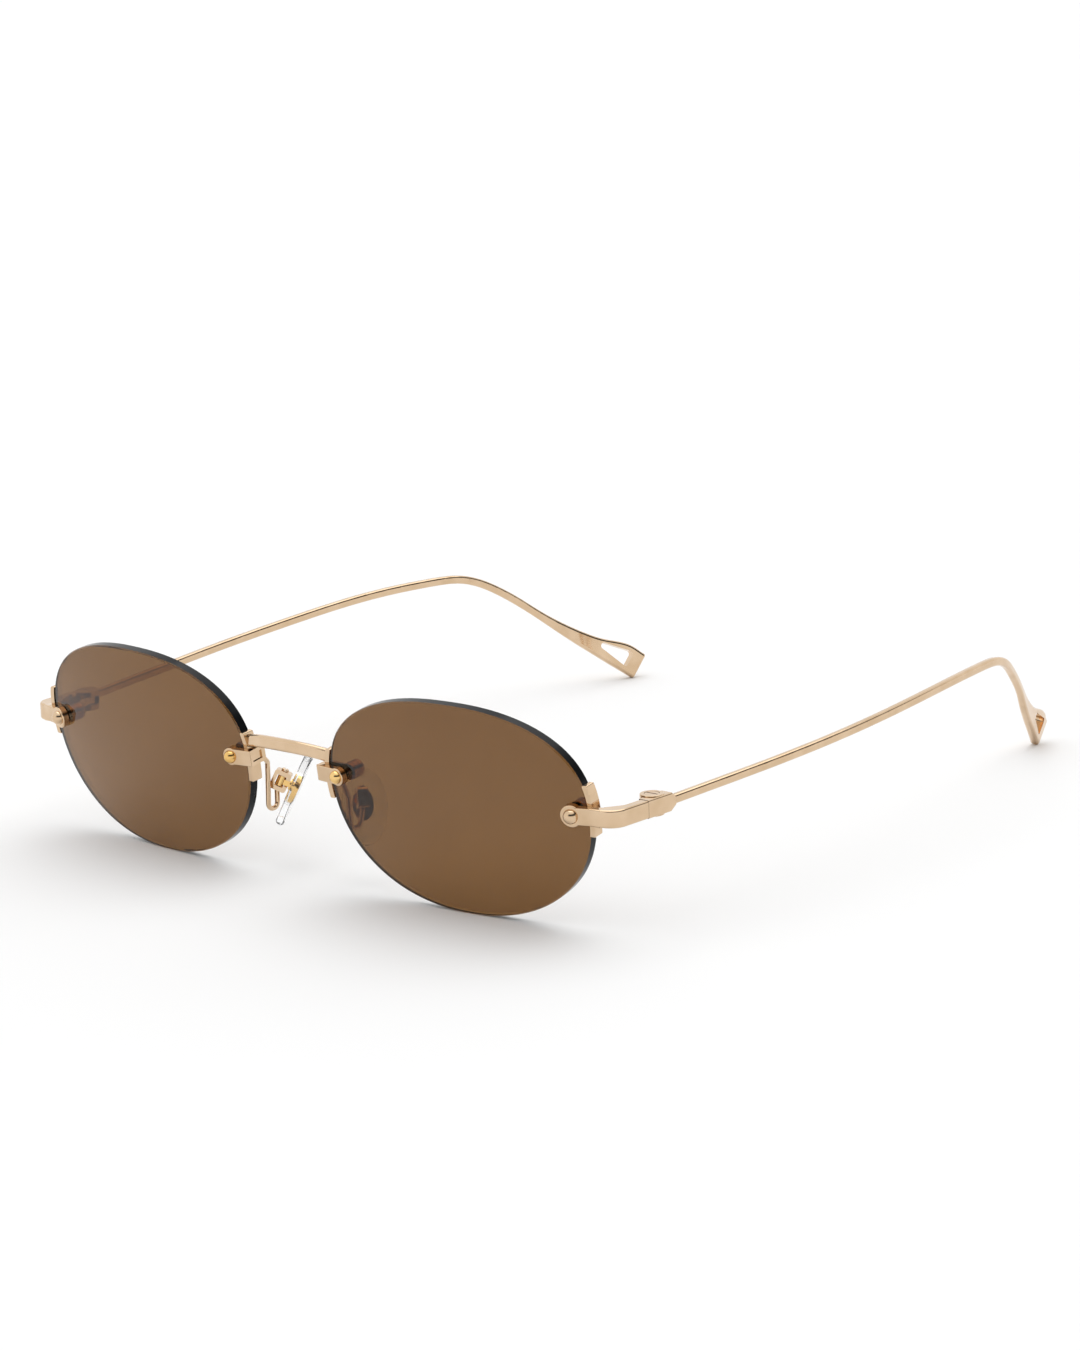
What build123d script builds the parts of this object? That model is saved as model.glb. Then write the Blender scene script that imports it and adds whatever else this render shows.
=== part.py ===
from build123d import *
from math import sin, cos, radians, pi, sqrt, copysign
import os

# Rimless oval sunglasses: two drilled lenses joined by a bridge, each clamped by screws to
# a nasal clamp and an endpiece, with hinged wire temples and rocking nose pads.
# Millimetres. +X is the wearer's left, -Y the way the wearer looks, +Z up. The origin is on
# the surface the glasses stand on, under the middle of the bridge.
# Every paired piece is built on the +X side and mirrored for the -X side.

os.makedirs("parts", exist_ok=True)

# ---- driving dimensions ---------------------------------------------------------------
lens_half_width = 25.6
lens_widest_above_centre = 1.7
lens_top_rise = 15.9
lens_bottom_drop = 20.1
lens_top_power = 2.29
lens_bottom_power = 2.16
lens_thickness = 1.9
lens_curve_radius = 144.0
lens_bevel = 0.22
lens_centre = (35.2, 0.0, 17.98)
lens_wrap = 5.4
lens_tilt = 8.6

nasal_hole = (-23.05, 2.4)
temporal_hole = (22.95, 1.8)
lens_hole_radius = 0.9
bushing_bore_radius = 0.58
screw_shaft_radius = 0.55
front_gap = 0.1
back_gap = 0.08

clamp_height = 2.7
clamp_plate_thickness = 1.1
clamp_rear_thickness = 0.6
clamp_nasal_face = 4.45
edge_stop_thickness = 0.9

bridge_end = (9.7, 0.25, 23.1)
bridge_quarter = (6.6, -0.95, 23.8)
bridge_middle = (0.0, -1.6, 24.15)
bridge_height = 2.1
bridge_thickness = 1.2

arm_thickness = 1.1
arm_straight = 3.4
bar_height = 2.9
side_bar_thickness = 1.6
shoulder_thickness = 1.9
bar_centre_z = 19.9
bar_outer_x = 65.95
bar_bend_radius = 3.0
bar_end_y = 12.3

hinge_axis = (63.85, 15.6)
hinge_height = 3.4
hinge_lug_radius = 1.95
hinge_gap = 0.05
hinge_plate_height = 3.0
tongue_radius = 1.35
tongue_height = 1.3
hinge_screw_radius = 0.55
hinge_plate_inner_x = 63.95

wire_height = 1.5
wire_thickness = 1.3
wire_sections = 25
wire_points = [(65.0, 17.6, 19.95), (66.0, 30.0, 20.6), (67.3, 50.0, 21.7), (67.3, 70.0, 22.9),
               (65.7, 90.0, 24.0), (63.3, 104.0, 24.05), (62.0, 110.0, 23.5), (60.7, 114.2, 22.0),
               (58.9, 118.3, 19.5)]
tip_point = (47.45, 140.3, -0.6)
tip_direction = (-0.376, 0.683, -0.626)
tip_profile = [(-24.0, -0.1, 1.4), (-17.5, 0.0, 2.1), (-13.0, 0.15, 2.95), (-9.5, 0.35, 3.9),
               (-5.6, 0.6, 5.5), (-2.8, 0.8, 6.2), (0.3, 0.95, 6.3)]
tip_twist = 15.0
tip_thickness = 1.65
eyelet_corners = [(-12.2, 2.35), (-2.2, 1.9), (-2.2, 5.3)]
eyelet_corner_radius = 0.6

pad_box_centre = (9.65, 7.27, 14.85)
pad_long_axis = Vector(-0.348, 0.295, 0.889)
pad_facing = Vector(-0.739, 0.515, -0.435)
pad_centre = (-0.8, -0.76, 2.65)
pad_width = 7.4
pad_length = 13.0
pad_thickness = 1.5
pad_arm_radius = 0.42


# ---- frames ---------------------------------------------------------------------------
wrap = radians(lens_wrap)
tilt = radians(lens_tilt)
lens_out = Vector(cos(wrap), sin(wrap), 0)
lens_front = Vector(sin(wrap) * cos(tilt), -cos(wrap) * cos(tilt), -sin(tilt))
lens_plane = Plane(origin=lens_centre, x_dir=lens_out, z_dir=lens_front)


def drill_plane(u, v):
    """Plane on the lens' front surface at (u, v), its z along the surface's own normal."""
    depth = sqrt(lens_curve_radius ** 2 - u * u - v * v) - lens_curve_radius
    origin = lens_plane.from_local_coords(Vector(u, v, depth))
    ball_centre = lens_plane.from_local_coords(Vector(0, 0, -lens_curve_radius))
    normal = (origin - ball_centre).normalized()
    across = (lens_out - normal * lens_out.dot(normal)).normalized()
    return Plane(origin=origin, x_dir=across, z_dir=normal)


nasal_plane = drill_plane(*nasal_hole)
temporal_plane = drill_plane(*temporal_hole)
pad_plane = Plane(origin=pad_box_centre, x_dir=pad_long_axis.cross(pad_facing), z_dir=pad_facing)


# ---- small helpers --------------------------------------------------------------------
def rod(radius, low, high, x=0.0, y=0.0):
    return Pos(x, y, (low + high) / 2) * Cylinder(radius, high - low)


def block(x_range, y_range, z_range):
    size = [b - a for a, b in (x_range, y_range, z_range)]
    middle = [(a + b) / 2 for a, b in (x_range, y_range, z_range)]
    return Pos(*middle) * Box(*size)


def placed(shape, plane):
    return shape.moved(plane.location)


def softened(shape, edges, radius):
    """Fillet the edges, or leave them if the radius does not fit."""
    for size in (radius, radius * 0.6):
        try:
            return fillet(edges, size)
        except Exception:
            continue
    return shape


def solid_of(shape):
    return max(shape.solids(), key=lambda s: s.volume)


# ---- lens -----------------------------------------------------------------------------
def outline_point(angle, grow):
    """Point on the lens outline, two half superellipses, pushed outward by grow."""
    upper = sin(angle) >= 0
    power = lens_top_power if upper else lens_bottom_power
    rise = lens_top_rise if upper else lens_bottom_drop
    c, s = cos(angle), sin(angle)
    x = lens_half_width * copysign(abs(c) ** (2 / power), c)
    y = rise * copysign(abs(s) ** (2 / power), s)
    nx = copysign((abs(x) / lens_half_width) ** (power - 1), x) / lens_half_width
    ny = copysign((abs(y) / rise) ** (power - 1), y) / rise
    length = sqrt(nx * nx + ny * ny)
    return (x + grow * nx / length, y + lens_widest_above_centre + grow * ny / length)


def outline_face(grow=0.0):
    steps = 48
    points = [outline_point(2 * pi * i / steps, grow) for i in range(steps)]
    return make_face(Spline(*points, periodic=True))


def lens():
    ball = Pos(0, 0, -lens_curve_radius) * Rot(0, 90, 0)
    shell = ball * Sphere(lens_curve_radius) - ball * Sphere(lens_curve_radius - lens_thickness)
    prism = extrude(outline_face(), amount=6, both=True)
    body = solid_of(prism & shell)
    rims = [e for e in body.edges() if e.length > 60]
    body = placed(chamfer(rims, lens_bevel), lens_plane)
    for plane in (nasal_plane, temporal_plane):
        body -= placed(rod(lens_hole_radius, -4, 2), plane)
    return solid_of(body)


def edge_stop(side, low, high, tail_radius):
    """Strap that lies along the lens' edge from height low to high, on side -1 or +1."""
    edge_depth = -lens_half_width ** 2 / (2 * lens_curve_radius)
    ring = outline_face(edge_stop_thickness) - outline_face(0.02)
    band = Pos(0, 0, edge_depth - lens_thickness - 0.05) * extrude(ring, amount=lens_thickness + 0.15)
    reach = sorted((side * 15, side * 30))
    strap = solid_of(band & block(reach, (low, high), (-8, 2)))
    ends = strap.edges().group_by(Axis.Y)
    strap = softened(strap, ends[0], tail_radius)
    strap = softened(strap, strap.edges().group_by(Axis.Y)[-1], 0.18)
    return placed(strap, lens_plane)


# ---- screws that hold the lens --------------------------------------------------------
def lens_screw(plane, head_radius, head_height, seat, tip):
    """Domed screw; seat is the height of its head's flat side above the lens."""
    dome_radius = (head_radius ** 2 + head_height ** 2) / (2 * head_height)
    dome = Pos(0, 0, seat + head_height - dome_radius) * Sphere(dome_radius)
    dome = dome & block((-3, 3), (-3, 3), (seat, seat + 3))
    return placed(solid_of(dome + rod(screw_shaft_radius, tip, seat + 0.1)), plane)


def lens_bushing(plane):
    sleeve = rod(lens_hole_radius - 0.02, -lens_thickness - 0.02, 0.02)
    return placed(sleeve - rod(bushing_bore_radius, -5, 2), plane)


def barrel_nut(plane, radius, top, length):
    body = rod(radius, top - length, top)
    body = softened(body, body.edges().filter_by(GeomType.CIRCLE).group_by(Axis.Z)[0], 0.45)
    body = softened(body, body.edges().filter_by(GeomType.CIRCLE).group_by(Axis.Z)[-1], 0.12)
    for groove in (top - 0.55, top - 0.95, top - 1.35):
        body -= rod(radius + 1, groove - 0.09, groove) - rod(radius - 0.13, groove - 1, groove + 1)
    body -= rod(screw_shaft_radius + 0.02, top - length + 0.6, top + 1)
    return placed(solid_of(body), plane)


# ---- bridge ---------------------------------------------------------------------------
clamp_back = -lens_thickness - back_gap - clamp_rear_thickness


def rounded_tab(radius, reach, height, thickness):
    """Flat tab, round about the origin and square at x = reach, lying on z = 0."""
    profile = Circle(radius) + Pos(reach / 2, 0) * Rectangle(abs(reach), height)
    return extrude(profile, amount=thickness)


def bridge_clamp():
    """U-shaped bracket round the lens' nasal edge, with a window sunk in its nasal wall."""
    front = Pos(0, 0, front_gap) * rounded_tab(1.5, -clamp_nasal_face, clamp_height, clamp_plate_thickness)
    rear = Pos(0, 0, clamp_back) * rounded_tab(1.4, -clamp_nasal_face, clamp_height, clamp_rear_thickness)
    height = clamp_height / 2
    front_face = front_gap + clamp_plate_thickness
    wall = block((-clamp_nasal_face, -2.8), (-height, height), (clamp_back, front_face))
    body = front + rear + wall
    body = softened(body, body.faces().sort_by(Axis.Z)[-1].edges(), 0.16)
    body -= block((-clamp_nasal_face - 1, -clamp_nasal_face + 0.25), (-0.7, 0.75), (-1.75, 0.55))
    body -= rod(bushing_bore_radius, -5, 3)
    body = placed(body, nasal_plane)
    edge_depth = -lens_half_width ** 2 / (2 * lens_curve_radius)
    low = edge_depth - lens_thickness - 0.09
    high = edge_depth + 0.14
    pocket = Pos(0, 0, low) * extrude(outline_face(edge_stop_thickness + 0.02), amount=high - low)
    return solid_of(body - placed(pocket, lens_plane))


def bridge():
    """Flat bar arched forward and up, its ends turned down and back to the edge stops."""
    half = [bridge_end, bridge_quarter]
    far = [(-x, y, z) for x, y, z in reversed(half)]
    path = Spline(*half, bridge_middle, *far)
    start = Plane(origin=path @ 0, x_dir=(0, 0, 1), z_dir=path % 0)
    section = start * RectangleRounded(bridge_height, bridge_thickness, 0.42)
    bar = sweep(section, path=path)
    stop = placed(extrude(outline_face(edge_stop_thickness + 0.01), amount=8, both=True), lens_plane)
    return solid_of(bar - stop - mirror(stop, about=Plane.YZ))


# ---- nose pads ------------------------------------------------------------------------
def pad_arm():
    """Wire from the clamp's back, down, round a U-turn and up to the foot of the pad box."""
    foot = pad_plane.from_local_coords(Vector(0, -1.7, 0))
    points = [(8.55, 2.05, 20.3), (8.9, 3.6, 18.9), (9.65, 4.25, 15.6), (9.85, 4.25, 10.45),
              (9.85, 6.35, 10.45), (foot.X, foot.Y, foot.Z)]
    path = FilletPolyline(*points, radius=[0.9, 1.5, 1.0, 1.0])
    section = Plane(origin=path @ 0, z_dir=path % 0) * Circle(pad_arm_radius)
    wire = sweep(section, path=path)
    clamp_zone = placed(block((-6, 2), (-2, 2), (clamp_back, 3)), nasal_plane)
    return solid_of(wire - clamp_zone)


def pad_box():
    """Square ring the pad's lug sits in, slotted towards the nose for the lug's neck."""
    ring = block((-0.9, 0.9), (-1.7, 1.7), (-1.45, 1.45))
    ring = fillet(ring.edges().filter_by(Axis.X), 0.5)
    ring -= block((-2, 2), (-0.95, 0.95), (-0.85, 0.85))
    ring -= block((-2, 2), (-0.55, 0.55), (0, 2))
    ring -= Rot(90, 0, 0) * rod(0.38, -3, 3)
    return placed(solid_of(ring), pad_plane)


def pad_screw():
    shank = rod(0.36, -1.55, 1.75)
    head = rod(0.62, 1.71, 2.1)
    head = softened(head, head.edges().group_by(Axis.Z)[-1], 0.15)
    head -= block((-1, 1), (-0.1, 0.1), (1.95, 3))
    return placed(Rot(-90, 0, 0) * solid_of(shank + head), pad_plane)


def insert_plate(grow=0.0):
    """Collar and oval plate moulded into the pad, made larger all over by grow."""
    middle = pad_centre[2]
    collar = rod(0.95 + grow, 1.62, middle)
    outline = Pos(-0.5, -0.5, middle - 0.2 - grow) * Ellipse(1.7 + grow, 2.7 + grow)
    return collar + extrude(outline, amount=0.4 + 2 * grow)


def pad_insert():
    """Lug round the pivot screw, and the neck that carries it on the plate."""
    lug = Rot(90, 0, 0) * rod(0.74, -0.85, 0.85)
    neck = block((-0.5, 0.5), (-0.45, 0.45), (0.3, pad_centre[2]))
    body = lug + neck + insert_plate()
    body -= Rot(90, 0, 0) * rod(0.4, -3, 3)
    return placed(solid_of(body), pad_plane)


def nose_pad():
    """Soft oval pad, cored out for the plate and collar of its insert."""
    x, y, z = pad_centre
    face = Pos(x, y, z - pad_thickness / 2) * Ellipse(pad_width / 2, pad_length / 2)
    body = extrude(face, amount=pad_thickness)
    body = fillet(body.edges(), 0.55)
    return placed(solid_of(body - insert_plate(0.03)), pad_plane)


# ---- endpiece -------------------------------------------------------------------------
arm_front = front_gap + arm_thickness


def across_bar(origin, inward, heading, thickness):
    """Rounded rectangle across the bar, its outer face through origin."""
    base = Plane(origin=origin, x_dir=inward, z_dir=heading)
    return base * Pos(thickness / 2, 0) * RectangleRounded(thickness, bar_height, 0.25)


def endpiece_bend(bend_start, along):
    """Corner block and side bar, from where the arm leaves the lens to the hinge."""
    inward = Vector(-along.Y, along.X, 0)
    corner = bend_start + along * ((bar_outer_x - bend_start.X) / along.X)
    inner_x = bar_outer_x - side_bar_thickness
    shoulder = bend_start + inward * shoulder_thickness
    plan = [(bend_start.X, bend_start.Y), (corner.X, corner.Y), (bar_outer_x, bar_end_y),
            (inner_x, bar_end_y), (inner_x, 8.4), (shoulder.X, shoulder.Y)]
    face = make_face(Polyline(*plan, plan[0]))
    outer = face.vertices().sort_by_distance((corner.X, corner.Y, 0))[0]
    face = fillet(outer, bar_bend_radius)
    inner = face.vertices().sort_by_distance((inner_x, 8.4, 0))[0]
    face = fillet(inner, 2.6)
    body = Pos(0, 0, bar_centre_z - bar_height / 2) * extrude(face, amount=bar_height)
    flat = body.faces().group_by(Axis.Z)
    rims = [e for e in flat[0].edges() + flat[-1].edges()
            if e.center().X > bar_outer_x - 0.6 or e.center().Y < bend_start.Y + 0.6]
    return softened(body, rims, 0.36)


def endpiece():
    """Arm along the lens' front, turning back to the hinge tongue."""
    tab = Pos(0, 0, front_gap) * rounded_tab(1.85, arm_straight, bar_height, arm_thickness)
    rims = [e for e in tab.faces().sort_by(Axis.Z)[-1].edges() if e.center().X < arm_straight - 0.1]
    tab = placed(softened(tab, rims, 0.2), temporal_plane)
    leave = temporal_plane.from_local_coords(Vector(arm_straight, 0, arm_front))
    along = Vector(temporal_plane.x_dir.X, temporal_plane.x_dir.Y, 0).normalized()
    bend_start = Vector(leave.X, leave.Y, bar_centre_z) + along * 1.6
    inward = Vector(-along.Y, along.X, 0)
    neck = loft([across_bar(leave, temporal_plane.z_dir * -1, temporal_plane.x_dir, arm_thickness),
                 across_bar(bend_start, inward, along, shoulder_thickness)], ruled=True)
    body = tab + neck + endpiece_bend(bend_start, along)
    half = tongue_height / 2
    x, y = hinge_axis
    web = Polyline((bar_outer_x - 1.28, 9.9), (x - tongue_radius, 12.7), (x - tongue_radius, y),
                   (x + tongue_radius - 0.1, y), (x + tongue_radius - 0.1, 11.9),
                   (bar_outer_x - 1.28, 9.9))
    tongue = Pos(0, 0, bar_centre_z - half) * extrude(make_face(web), amount=tongue_height)
    tongue += rod(tongue_radius, bar_centre_z - half, bar_centre_z + half, x, y)
    body += tongue
    edge_depth = -lens_half_width ** 2 / (2 * lens_curve_radius)
    pocket = extrude(outline_face(edge_stop_thickness + 0.02), amount=6.14)
    body -= placed(Pos(0, 0, edge_depth - 6) * pocket, lens_plane)
    body -= placed(rod(bushing_bore_radius, -4, 4), temporal_plane)
    body -= rod(hinge_screw_radius + 0.05, 0, 40, x, y)
    return solid_of(body)


def rear_washer():
    washer = rod(1.5, -lens_thickness - 0.45, -lens_thickness - back_gap)
    return placed(washer - rod(bushing_bore_radius, -5, 3), temporal_plane)


# ---- hinge and temple -----------------------------------------------------------------
def temple_hinge(wire):
    """Clevis with a plate outside it, closed on the outer side and pointed at the back."""
    x, y = hinge_axis
    low, high = bar_centre_z - hinge_height / 2, bar_centre_z + hinge_height / 2
    slot = tongue_height / 2 + 0.05
    front = bar_end_y + hinge_gap
    web = Polyline((hinge_plate_inner_x, front), (bar_outer_x, front), (bar_outer_x, 19.3),
                   (bar_outer_x - 1.25, 19.3), (x - 1.75, y + 0.8), (x, y),
                   (hinge_plate_inner_x, front))
    plate_low = bar_centre_z - hinge_plate_height / 2
    plate_high = bar_centre_z + hinge_plate_height / 2
    body = Pos(0, 0, plate_low) * extrude(make_face(web), amount=hinge_plate_height)
    nose = Polyline((16.6, low - 1), (17.9, plate_low), (19.2, bar_centre_z - 0.6),
                    (19.2, bar_centre_z + 0.6), (18.2, plate_high), (17.2, high + 1),
                    (11.0, high + 1), (11.0, low - 1), (16.6, low - 1))
    side = Plane(origin=(60, 0, 0), x_dir=(0, 1, 0), z_dir=(1, 0, 0))
    body = body & extrude(side * make_face(nose), amount=10)
    body = solid_of(body)
    outside = [e for e in body.faces().sort_by(Axis.X)[-1].edges() if e.center().Y > bar_end_y + 0.3]
    body = softened(body, outside, 0.3)
    lug = rod(hinge_lug_radius, low, high, x, y)
    rims = lug.edges().filter_by(GeomType.CIRCLE)
    body += softened(lug, rims, 0.14)
    gap = (bar_centre_z - slot, bar_centre_z + slot)
    body -= rod(tongue_radius + 0.1, *gap, x, y)
    body -= block((x - 3, x + tongue_radius + 0.05), (11, y), gap)
    body -= block((x - 3, x), (y - 3, y + tongue_radius + 0.1), gap)
    body -= rod(hinge_screw_radius + 0.01, low - 1, high + 1, x, y)
    body -= rod(1.24, high - 0.35, high + 1, x, y)
    return solid_of(body - wire)


def hinge_screw():
    x, y = hinge_axis
    high = bar_centre_z + hinge_height / 2
    head = rod(1.2, high - 0.34, high - 0.02, x, y)
    head = softened(head, head.edges().group_by(Axis.Z)[-1], 0.08)
    screw = head + rod(hinge_screw_radius, bar_centre_z - hinge_height / 2 + 0.05, high - 0.3, x, y)
    return solid_of(screw - block((x - 2, x + 2), (y - 0.14, y + 0.14), (high - 0.2, high + 1)))


def wire_section(point, heading, height, thickness, twist=0.0):
    across = Vector(heading.Y, -heading.X, 0).normalized()
    base = Plane(origin=point, x_dir=across, z_dir=heading)
    return base * Rot(0, 0, twist) * RectangleRounded(thickness, height, 0.33 * thickness)


def temple():
    """Springy wire with an arched ear bend, flattened into a pointed, pierced tip."""
    heading = Vector(*tip_direction).normalized()
    across = Vector(heading.Y, -heading.X, 0).normalized()
    base = Plane(origin=tip_point, x_dir=across, z_dir=heading).location
    sections = []
    tail = []
    for along, low, high in tip_profile:
        share = min(1.0, 1.0 + (along + 5) / 19)
        twist = tip_twist * share
        thickness = wire_thickness + (tip_thickness - wire_thickness) * share
        turned = base * Rot(0, 0, twist)
        centre = (turned * Pos(0, -(low + high) / 2, along)).position
        tail.append(wire_section(centre, heading, high - low, thickness, twist))
    start = (base * Pos(0, -(tip_profile[0][1] + tip_profile[0][2]) / 2, tip_profile[0][0])).position
    spine = Spline(*[Vector(*p) for p in wire_points], start,
                   tangents=[Vector(*wire_points[1]) - Vector(*wire_points[0]), heading])
    for i in range(wire_sections):
        share = i / (wire_sections - 1) * 0.957
        sections.append(wire_section(spine @ share, spine % share, wire_height, wire_thickness))
    body = loft(sections + tail)
    end = body.faces().sort_by(Axis((0, 0, 0), tuple(heading)))[-1]
    body = softened(body, end.edges(), 0.34)
    flat = Plane(base * Rot(0, 0, tip_twist) * Rot(0, -90, 0))
    corners = [(a, -h) for a, h in eyelet_corners]
    hole = make_face(Polyline(*corners, corners[0]))
    hole = fillet(hole.vertices(), eyelet_corner_radius)
    body -= extrude(flat * hole, amount=3, both=True)
    return solid_of(body)


# ---- write the nodes ------------------------------------------------------------------
def paired_pieces():
    temporal_seat = arm_front
    temple_wire = temple()
    nasal_seat = front_gap + clamp_plate_thickness
    return {
        "lens": lens(),
        "bridge_clamp": bridge_clamp(),
        "bridge_edge_stop": edge_stop(-1, -2.2, 6.4, 0.45),
        "bridge_screw": lens_screw(nasal_plane, 1.13, 1.0, nasal_seat, -4.2),
        "bridge_bushing": lens_bushing(nasal_plane),
        "bridge_nut": barrel_nut(nasal_plane, 1.45, clamp_back, 2.4),
        "pad_arm": pad_arm(),
        "pad_box": pad_box(),
        "pad_screw": pad_screw(),
        "pad_insert": pad_insert(),
        "nose_pad": nose_pad(),
        "endpiece": endpiece(),
        "endpiece_edge_stop": edge_stop(1, -2.1, 6.6, 0.3),
        "endpiece_screw": lens_screw(temporal_plane, 1.25, 1.1, temporal_seat, -3.8),
        "endpiece_bushing": lens_bushing(temporal_plane),
        "endpiece_washer": rear_washer(),
        "endpiece_nut": barrel_nut(temporal_plane, 1.4, -lens_thickness - 0.45, 2.2),
        "temple_hinge": temple_hinge(temple_wire),
        "hinge_screw": hinge_screw(),
        "temple": temple_wire,
    }


export_step(bridge(), "parts/bridge.step")
for name, shape in paired_pieces().items():
    export_step(shape, f"parts/{name}_left.step")
    export_step(mirror(shape, about=Plane.YZ), f"parts/{name}_right.step")
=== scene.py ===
import math
import bpy
from mathutils import Matrix, Vector

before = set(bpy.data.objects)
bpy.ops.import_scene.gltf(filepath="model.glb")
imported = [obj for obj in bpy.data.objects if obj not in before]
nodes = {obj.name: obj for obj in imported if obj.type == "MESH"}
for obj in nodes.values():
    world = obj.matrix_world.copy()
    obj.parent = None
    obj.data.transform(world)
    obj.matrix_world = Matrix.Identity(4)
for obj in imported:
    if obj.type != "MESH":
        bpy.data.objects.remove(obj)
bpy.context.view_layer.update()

scene = bpy.context.scene
scene.view_settings.view_transform = "Standard"
scene.view_settings.look = "None"

# how the lenses stand, in degrees: turned about the upright, and leaning
LENS_WRAP = 5.4
LENS_TILT = 8.6


# ---- node helpers ---------------------------------------------------------------------
class Shader:
    """A material's node tree, with short calls for the nodes that the materials share."""

    def __init__(self, name):
        self.material = bpy.data.materials.new(name)
        self.material.use_nodes = True
        self.tree = self.material.node_tree
        self.surface = self.tree.nodes["Principled BSDF"]
        self.coordinates = self.add("ShaderNodeTexCoord")
        self.place = self.coordinates.outputs["Object"]

    def add(self, kind, **values):
        node = self.tree.nodes.new(kind)
        for key, value in values.items():
            setattr(node, key, value)
        return node

    def link(self, source, target):
        self.tree.links.new(source, target)

    def set(self, **values):
        for key, value in values.items():
            self.surface.inputs[key.replace("_", " ")].default_value = value

    def noise(self, scale, detail=3.0, stretch=(1, 1, 1)):
        """Noise in the object's own metres, 0 to 1."""
        mapping = self.add("ShaderNodeMapping")
        mapping.inputs["Scale"].default_value = stretch
        self.link(self.place, mapping.inputs["Vector"])
        node = self.add("ShaderNodeTexNoise")
        node.inputs["Scale"].default_value = scale
        node.inputs["Detail"].default_value = detail
        self.link(mapping.outputs["Vector"], node.inputs["Vector"])
        return node.outputs["Fac"]

    def ramp(self, value, stops):
        """Colour read off a value, from (position, colour) stops."""
        node = self.add("ShaderNodeValToRGB")
        ramp = node.color_ramp
        while len(ramp.elements) < len(stops):
            ramp.elements.new(0.5)
        for element, (position, colour) in zip(ramp.elements, stops):
            element.position = position
            element.color = colour if len(colour) == 4 else (*colour, 1.0)
        self.link(value, node.inputs["Fac"])
        return node.outputs["Color"]

    def spread(self, value, low, high):
        """A value from 0 to 1, stretched to run from low to high."""
        node = self.add("ShaderNodeMapRange")
        node.inputs["To Min"].default_value = low
        node.inputs["To Max"].default_value = high
        self.link(value, node.inputs["Value"])
        return node.outputs["Result"]

    def bump(self, height, distance, strength):
        node = self.add("ShaderNodeBump")
        node.inputs["Distance"].default_value = distance
        node.inputs["Strength"].default_value = strength
        self.link(height, node.inputs["Height"])
        self.link(node.outputs["Normal"], self.surface.inputs["Normal"])


def mottle(shader, value, deep, pale):
    """Base colour that drifts between two close tones."""
    colour = shader.ramp(value, [(0.3, deep), (0.7, pale)])
    shader.link(colour, shader.surface.inputs["Base Color"])


def polished_gold(name, deep, pale, rough):
    """Plated metal: slight shifts of hue, fine polishing haze and a faint waviness."""
    shader = Shader(name)
    shader.set(Metallic=1.0)
    mottle(shader, shader.noise(260.0, detail=2.0), deep, pale)
    haze = shader.noise(1500.0, stretch=(1.0, 0.3, 1.0))
    shader.link(shader.spread(haze, rough * 0.75, rough * 1.3), shader.surface.inputs["Roughness"])
    shader.bump(shader.noise(300.0, detail=1.0), distance=0.000008, strength=0.4)
    return shader.material


def lens_axis(side):
    """The way a lens faces: side is 1 for the left lens and -1 for the right one."""
    wrap, tilt = math.radians(LENS_WRAP), math.radians(LENS_TILT)
    return (side * math.sin(wrap) * math.cos(tilt), -math.cos(wrap) * math.cos(tilt), -math.sin(tilt))


def tinted_lens(name, axis):
    """Brown sun lens. Where its surface turns well off the lens axis it is rim, black and satin."""
    rim_full, rim_gone = 0.58, 0.64
    shader = Shader(name)
    shader.set(IOR=1.42, Transmission_Weight=1.0)
    mottle(shader, shader.noise(45.0), (0.173, 0.082, 0.0245), (0.190, 0.092, 0.029))
    shader.link(shader.spread(shader.noise(700.0), 0.0, 0.03), shader.surface.inputs["Roughness"])
    facing = shader.add("ShaderNodeVectorMath", operation="DOT_PRODUCT")
    facing.inputs[1].default_value = axis
    shader.link(shader.coordinates.outputs["Normal"], facing.inputs[0])
    size = shader.add("ShaderNodeMath", operation="ABSOLUTE")
    shader.link(facing.outputs["Value"], size.inputs[0])
    white, black = (1.0, 1.0, 1.0), (0.0, 0.0, 0.0)
    rim = shader.ramp(size.outputs["Value"], [(rim_full, white), (rim_gone, black)])
    edge = shader.add("ShaderNodeBsdfPrincipled")
    grain = shader.noise(900.0)
    shade = shader.ramp(grain, [(0.3, (0.005, 0.0055, 0.0065)), (0.7, (0.009, 0.0095, 0.011))])
    shader.link(shade, edge.inputs["Base Color"])
    shader.link(shader.spread(grain, 0.10, 0.18), edge.inputs["Roughness"])
    edge.inputs["IOR"].default_value = 1.22
    blend = shader.add("ShaderNodeMixShader")
    shader.link(rim, blend.inputs["Fac"])
    shader.link(shader.surface.outputs["BSDF"], blend.inputs[1])
    shader.link(edge.outputs["BSDF"], blend.inputs[2])
    shader.link(blend.outputs["Shader"], shader.tree.nodes["Material Output"].inputs["Surface"])
    return shader.material


def clear_silicone(name, tint, low, high):
    """See-through soft plastic, faintly cloudy, with its roughness between low and high."""
    shader = Shader(name)
    shader.set(IOR=1.41, Transmission_Weight=1.0)
    cloud = shader.noise(300.0)
    mottle(shader, cloud, tint, tuple(min(1.0, part * 1.02) for part in tint))
    shader.link(shader.spread(cloud, low, high), shader.surface.inputs["Roughness"])
    return shader.material


# ---- materials of the pieces ----------------------------------------------------------
champagne = polished_gold("champagne_gold", (0.64, 0.46, 0.29), (0.72, 0.535, 0.36), rough=0.08)
yellow = polished_gold("yellow_gold", (0.80, 0.50, 0.17), (0.88, 0.60, 0.25), rough=0.08)
bronze = polished_gold("bronze_nut", (0.42, 0.22, 0.07), (0.55, 0.31, 0.11), rough=0.16)
pad_material = clear_silicone("pad_silicone", (0.96, 0.965, 0.97), low=0.01, high=0.05)
sleeve_material = clear_silicone("sleeve_plastic", (0.62, 0.40, 0.22), low=0.05, high=0.12)

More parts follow.
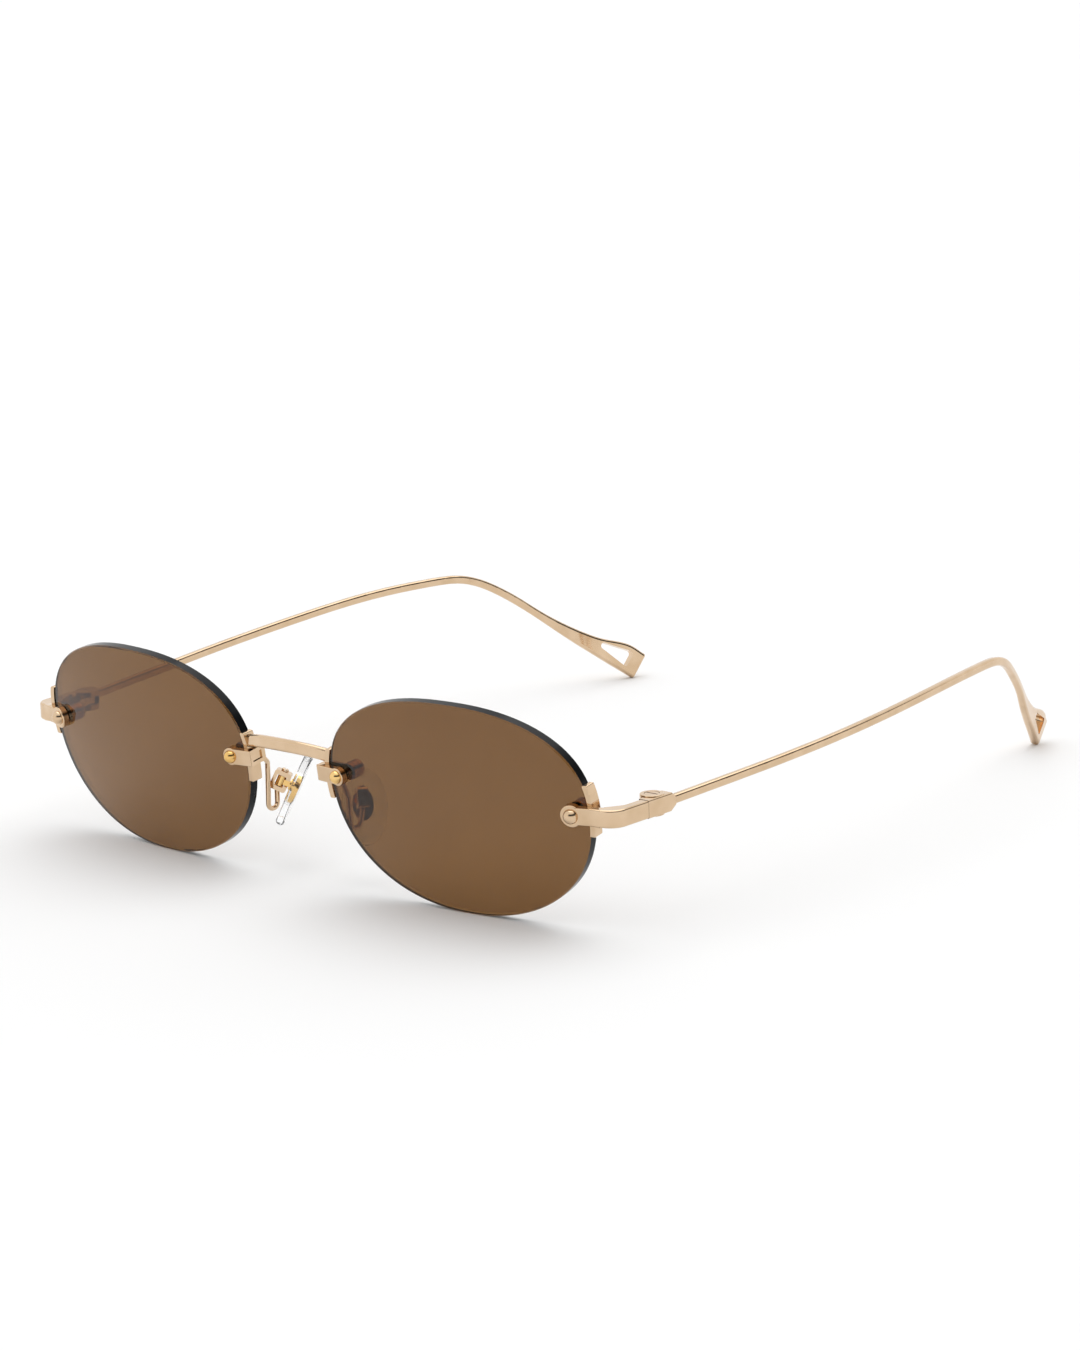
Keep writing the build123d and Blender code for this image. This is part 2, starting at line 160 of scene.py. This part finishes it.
FINISH = {
    "lens_left": tinted_lens("brown_lens_left", lens_axis(1)),
    "lens_right": tinted_lens("brown_lens_right", lens_axis(-1)),
    "nose_pad": pad_material,
    "bridge_screw": yellow,
    "bridge_nut": bronze,
    "endpiece_nut": bronze,
    "endpiece_washer": bronze,
    "pad_insert": yellow,
    "bridge_bushing": sleeve_material,
    "endpiece_bushing": sleeve_material,
}

# what FINISH doesn't name, by piece or by kind, is champagne gold
for name, node in nodes.items():
    family = name.removesuffix("_left").removesuffix("_right")
    node.data.materials.clear()
    node.data.materials.append(FINISH.get(name, FINISH.get(family, champagne)))


# ---- stage ----------------------------------------------------------------------------
def floor_plane(size):
    """White table top, a square about the origin."""
    mesh = bpy.data.meshes.new("floor")
    half = size / 2
    corners = [(-half, -half, 0), (half, -half, 0), (half, half, 0), (-half, half, 0)]
    mesh.from_pydata(corners, [], [(0, 1, 2, 3)])
    plane = bpy.data.objects.new("floor", mesh)
    scene.collection.objects.link(plane)
    shader = Shader("floor_white")
    shader.set(Base_Color=(0.92, 0.92, 0.92, 1.0), Roughness=0.9)
    shader.surface.inputs["Specular IOR Level"].default_value = 0.1
    mesh.materials.append(shader.material)


def overhead_sun(direction, strength, spread):
    """Even light from one side of the sky, as wide as a big softbox."""
    data = bpy.data.lights.new("overhead", "SUN")
    data.energy = strength
    data.angle = math.radians(spread)
    lamp = bpy.data.objects.new("overhead", data)
    lamp.rotation_euler = Vector(direction).to_track_quat("Z", "Y").to_euler()
    scene.collection.objects.link(lamp)


def studio_sky(strength, dark, gap_azimuth):
    """White studio with one long dark gap above its walls, on one side of the room.

    Heights are the upward part of a unit direction. dark is what light is left in the gap.
    """
    gap_height, gap_half, gap_edge = 0.46, 0.15, 0.28
    side_fade = 0.4
    world = bpy.data.worlds.new("studio")
    scene.world = world
    world.use_nodes = True
    tree = world.node_tree

    def add(kind, *sources, **values):
        node = tree.nodes.new(kind)
        for key, value in values.items():
            setattr(node, key, value)
        for source, socket in zip(sources, node.inputs):
            if isinstance(source, bpy.types.NodeSocket):
                tree.links.new(source, socket)
            elif source is not None:
                socket.default_value = source
        return node

    direction = add("ShaderNodeTexCoord").outputs["Generated"]
    height = add("ShaderNodeSeparateXYZ", direction).outputs["Z"]
    off = add("ShaderNodeMath", height, gap_height, operation="SUBTRACT").outputs["Value"]
    off = add("ShaderNodeMath", off, operation="ABSOLUTE").outputs["Value"]
    band = add("ShaderNodeMapRange", off, gap_half, gap_edge, 1.0, 0.0,
               interpolation_type="SMOOTHSTEP")
    turn = math.radians(gap_azimuth)
    aim = (math.cos(turn), math.sin(turn), 0.0)
    side = add("ShaderNodeVectorMath", direction, aim, operation="DOT_PRODUCT")
    side = add("ShaderNodeMapRange", side.outputs["Value"], 0.0, side_fade, 0.0, 1.0 - dark,
               interpolation_type="SMOOTHSTEP")
    gap = add("ShaderNodeMath", band.outputs["Result"], side.outputs["Result"], operation="MULTIPLY")
    light = add("ShaderNodeMath", 1.0, gap.outputs["Value"], operation="SUBTRACT")
    background = tree.nodes["Background"]
    tree.links.new(light.outputs["Value"], background.inputs["Color"])
    background.inputs["Strength"].default_value = strength


def view_camera(target, distance, azimuth, elevation, roll, focal):
    """Camera at a distance from the target, in metres and degrees. focal is the lens in mm."""
    data = bpy.data.cameras.new("view")
    data.lens = focal
    data.clip_end = 50.0
    turn = Matrix.Rotation(math.radians(azimuth), 4, "Z")
    turn = turn @ Matrix.Rotation(math.radians(90 - elevation), 4, "X")
    turn = turn @ Matrix.Rotation(math.radians(roll), 4, "Z")
    camera = bpy.data.objects.new("view", data)
    back = turn @ Vector((0, 0, 1))
    camera.matrix_world = Matrix.Translation(Vector(target) + back * distance) @ turn
    scene.collection.objects.link(camera)
    scene.camera = camera


floor_plane(size=16.0)
studio_sky(strength=1.02, dark=0.08, gap_azimuth=-12)
overhead_sun(direction=(-0.12, 0.28, 1.0), strength=0.82, spread=60)
view_camera(target=(0.02369, 0.03533, 0.03134), distance=0.76,
            azimuth=41.84, elevation=13.42, roll=-2.206, focal=123.13)
